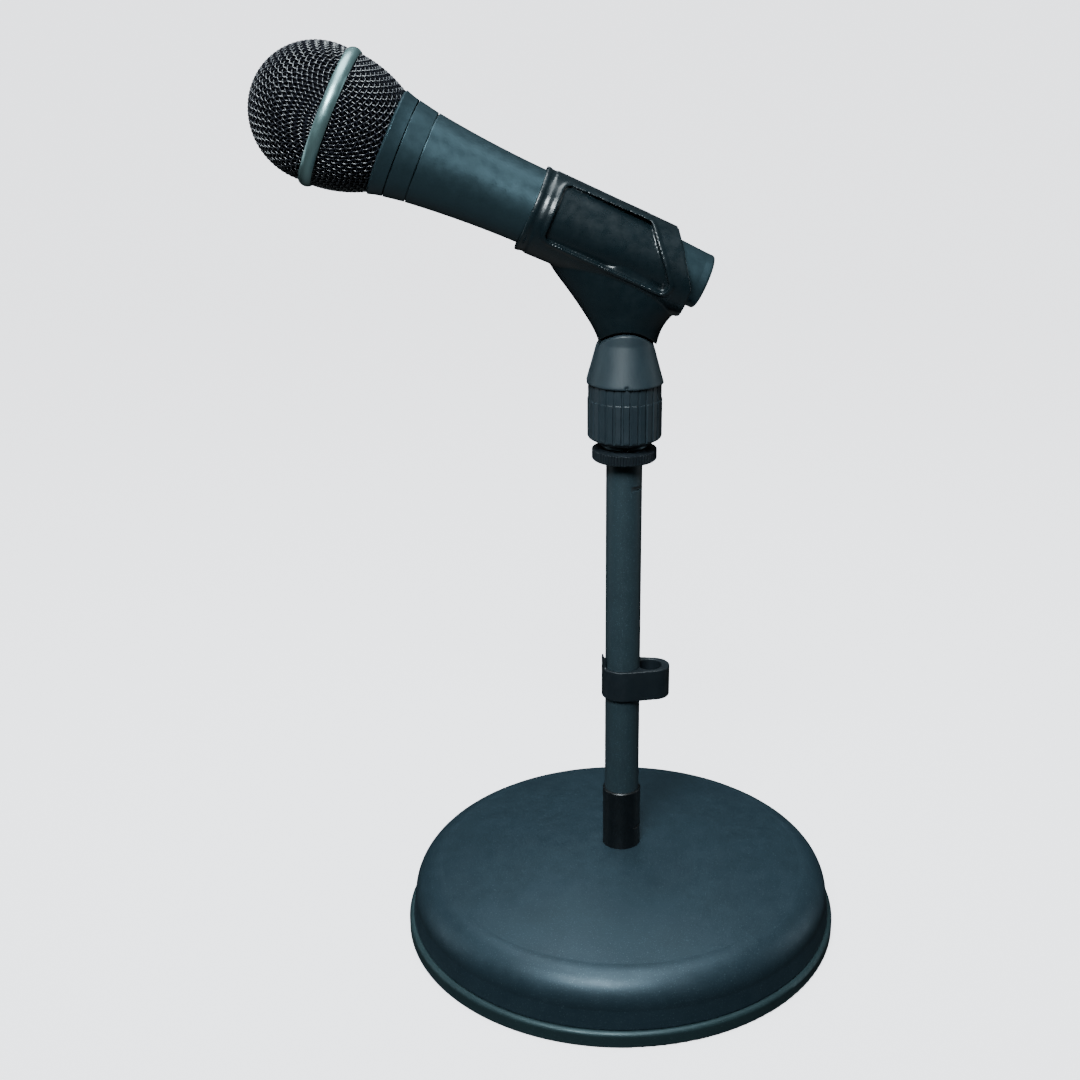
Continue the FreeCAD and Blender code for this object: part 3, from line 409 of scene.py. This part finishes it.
def cup_weave():
    """The rear mesh: a flat square mesh drawn over the cup."""
    places, widest = outline_of("rear_grille")
    dense = np.linspace(places[0] - UNDER_COLLAR, places[-1] + UNDER_RING, CUP_STEPS)
    radii = np.interp(dense, places, widest) - WEAVE_DEPTH
    slant = np.concatenate([[0.0], np.cumsum(np.hypot(np.diff(dense), np.diff(radii)))])
    near = radii[0]
    far = near + slant[-1]
    slope = np.gradient(radii, slant)
    wires = int(far / PITCH)

    def spot_at(family, wire, step):
        """Spot on a wire of a family, or None beyond the cup's two edges."""
        first, second = wire * PITCH, step * PITCH / STEPS
        if family:
            first, second = second, first
        span = math.hypot(first, second)
        if span < near or span > far:
            return None
        angle = math.atan2(second, first) + MESH_TURN
        place, radius, lean = (float(np.interp(span - near, slant, row)) for row in (dense, radii, slope))
        out = math.cos(angle) * OVER - math.sin(angle) * SIDE
        normal = (out * math.sqrt(1.0 - lean ** 2) - AXIS * lean).normalized()
        point = AXIS_POINT + AXIS * place + out * radius + normal * wave(step, wire, family)
        return tuple(point), tuple(normal)

    runs = []
    furthest = (wires + 1) * STEPS
    for family in (0, 1):
        for wire in range(-wires, wires + 1):
            spots = [spot_at(family, wire, step) for step in range(-furthest, furthest + 1)]
            runs += unbroken(spots, STEPS)
    stand_for(tubes("woven_cup", runs), "rear_grille")


dome_weave()
cup_weave()


# Moulded and foam pieces: the CAD shape, rounded as a mould or a knife leaves it

WELD = 0.002 * MM
FOAM_ROUGH = 0.18 * MM          # height of the foam's lumps
FOAM_LUMP = 1.1 * MM


def softened(name, node, voxel, passes):
    """Copy of a CAD node with its edges rounded by a remesh and so many passes of smoothing."""
    source = frame["nodes"][node]
    piece = bpy.data.objects.new(name, source.data.copy())
    bpy.context.scene.collection.objects.link(piece)
    shape = bmesh.new()
    shape.from_mesh(piece.data)
    bmesh.ops.remove_doubles(shape, verts=shape.verts, dist=WELD)
    shape.to_mesh(piece.data)
    shape.free()
    remesh = piece.modifiers.new("remesh", "REMESH")
    remesh.mode = "VOXEL"
    remesh.voxel_size = voxel
    smooth = piece.modifiers.new("smooth", "SMOOTH")
    smooth.factor = 0.5
    smooth.iterations = passes
    graph = bpy.context.evaluated_depsgraph_get()
    final = bpy.data.meshes.new_from_object(piece.evaluated_get(graph))
    piece.modifiers.clear()
    piece.data = final
    piece.data.name = name
    piece.data.shade_smooth()
    return piece


def foam_liner():
    piece = softened("foam_liner", "foam_windscreen", 0.9 * MM, 2)
    for vertex in piece.data.vertices:
        vertex.co += vertex.normal * FOAM_ROUGH * noise.noise(vertex.co / FOAM_LUMP)
    stand_for(piece, "foam_windscreen")


for piece_name, cad_node, voxel_size in (("moulded_clip", "clip_body", 0.5 * MM),
                                         ("moulded_yoke", "swivel_yoke", 0.4 * MM),
                                         ("moulded_cable_clip", "cable_clip", 0.35 * MM)):
    stand_for(softened(piece_name, cad_node, voxel_size, 3), cad_node)
foam_liner()


# Studio: a pale bowl with soft lights inside it

BOWL_FLAT = 1.7
BOWL_RISE = 2.4
BOWL_SPREAD = 1.1               # how far the walls stand out from the flat floor's edge
BOWL_STEPS = 24
BOWL_SIDES = 96
FLOOR_GLOW = 2.6


def bowl():
    """Floor that curves up into walls all round, open at the top."""
    profile = [(BOWL_FLAT * 0.5, 0.0), (BOWL_FLAT, 0.0)]
    for i in range(1, BOWL_STEPS + 1):
        turn = math.pi / 2 * i / BOWL_STEPS
        profile.append((BOWL_FLAT + BOWL_SPREAD * math.sin(turn), BOWL_RISE * (1.0 - math.cos(turn))))
    shape = bmesh.new()
    rings = []
    middle = shape.verts.new((0.0, 0.0, 0.0))
    for radius, height in profile:
        ring = []
        for k in range(BOWL_SIDES):
            turn = 2 * math.pi * k / BOWL_SIDES
            ring.append(shape.verts.new((radius * math.cos(turn), radius * math.sin(turn), height)))
        rings.append(ring)
    for k in range(BOWL_SIDES):
        shape.faces.new((middle, rings[0][k], rings[0][(k + 1) % BOWL_SIDES]))
    for low, high in zip(rings, rings[1:]):
        for k in range(BOWL_SIDES):
            after = (k + 1) % BOWL_SIDES
            shape.faces.new((low[k], high[k], high[after], low[after]))
    mesh = bpy.data.meshes.new("floor")
    shape.to_mesh(mesh)
    shape.free()
    mesh.shade_smooth()
    floor = bpy.data.objects.new("floor", mesh)
    floor.location.z = cad_low.z
    bpy.context.scene.collection.objects.link(floor)
    material, tree, out = shader("floor_paper")
    place = add(tree, "ShaderNodeTexCoord").outputs["Object"]
    paper = tint(tree, noise_at(tree, place, 0.8), (0.33, 0.335, 0.345), (0.35, 0.355, 0.365))
    tree.links.new(paper, out.inputs["Base Color"])
    out.inputs["Roughness"].default_value = 0.9
    out.inputs["Emission Color"].default_value = (0.93, 0.95, 1.0, 1.0)
    out.inputs["Emission Strength"].default_value = FLOOR_GLOW
    mesh.materials.append(material)
    floor.visible_glossy = False
    floor.visible_diffuse = False
    floor.visible_shadow = False


def lamp(name, place, aim, size, power, tall=None, beam=180.0):
    """Cool rectangular light; the beam is its full spread in degrees."""
    data = bpy.data.lights.new(name, "AREA")
    data.energy = power
    data.color = (0.86, 0.96, 1.0)
    data.shape = "RECTANGLE"
    data.size = size
    data.size_y = tall or size
    data.spread = math.radians(beam)
    light = bpy.data.objects.new(name, data)
    light.location = place
    light.rotation_mode = "QUATERNION"
    light.rotation_quaternion = (Vector(aim) - Vector(place)).to_track_quat("-Z", "Y")
    light.visible_camera = False
    bpy.context.scene.collection.objects.link(light)


AIR = ((0.0, 0.30), (0.12, 0.12), (0.24, 0.008), (0.5, 0.010), (1.0, 0.10))     # from below to above


def studio_air():
    """Dark round the sides, dim overhead and brightest straight below."""
    world = bpy.data.worlds.new("world")
    world.use_nodes = True
    tree = world.node_tree
    place = add(tree, "ShaderNodeTexCoord").outputs["Generated"]
    height = add(tree, "ShaderNodeSeparateXYZ")
    tree.links.new(place, height.inputs["Vector"])
    ramp = add(tree, "ShaderNodeValToRGB")
    marks = ramp.color_ramp.elements
    while len(marks) < len(AIR):
        marks.new(0.5)
    for mark, (where, light) in zip(marks, AIR):
        mark.position = where
        mark.color = (0.84 * light, 0.95 * light, light, 1.0)
    share = spread(tree, height.outputs["Z"], 0.0, 1.0, -1.0, 1.0)
    tree.links.new(share, ramp.inputs["Fac"])
    tree.links.new(ramp.outputs["Color"], tree.nodes["Background"].inputs["Color"])
    bpy.context.scene.world = world


MIC_MIDDLE = (-0.06, 0.0, 0.345)

bowl()
lamp("overhead", (-0.05, 0.12, 1.2), (0.0, 0.0, 0.05), 0.6, 13.0, tall=0.9)
lamp("front_high", (-0.2, -0.62, 0.92), MIC_MIDDLE, 0.35, 3.8, beam=75.0)
lamp("left_edge", (-1.1, 0.15, 0.3), (0.0, 0.0, 0.15), 0.25, 1.5, tall=0.8)
lamp("right_edge", (1.1, 0.15, 0.3), (0.0, 0.0, 0.15), 0.25, 1.5, tall=0.8)
studio_air()
